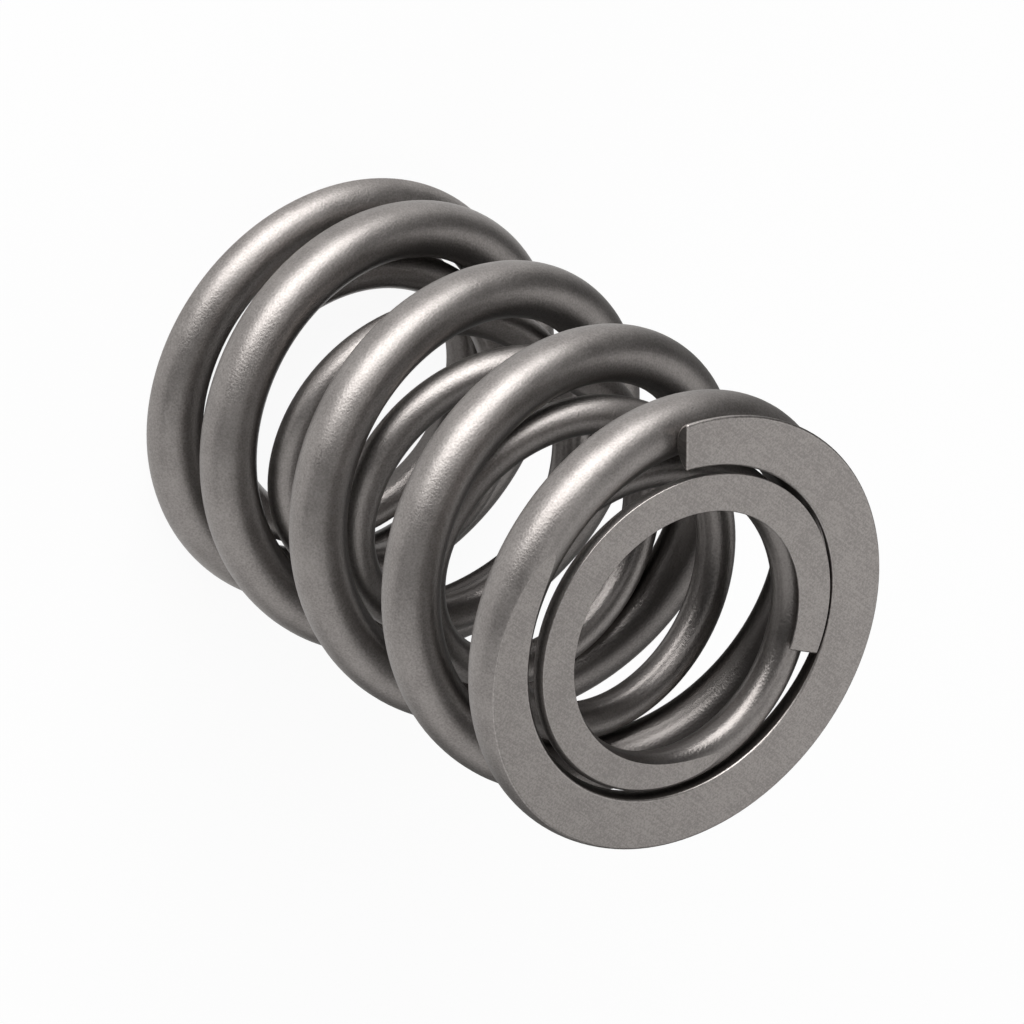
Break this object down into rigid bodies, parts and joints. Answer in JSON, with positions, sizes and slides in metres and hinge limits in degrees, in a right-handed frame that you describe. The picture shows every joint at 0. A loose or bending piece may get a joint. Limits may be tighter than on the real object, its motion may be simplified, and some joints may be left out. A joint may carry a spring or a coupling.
{
  "type": "engine valve spring",
  "caption": "Nested pair of helical compression springs with closed, flat-ground ends: a thick right-hand outer coil round a thinner left-hand inner coil.",
  "frame": {"origin": "centre of the outer spring's lower ground end", "axes": "+Z along the springs' axis, from the lower ground end to the upper one; standing on its lower end"},
  "size_m": [0.037, 0.037, 0.0506],
  "materials": {
    "spring_steel": "bare shot-peened spring steel, satin grey, with finely ground flat ends"
  },
  "bodies": {
    "root": {"outer_spring": "spring_steel", "inner_spring": "spring_steel"}
  },
  "joints": []
}
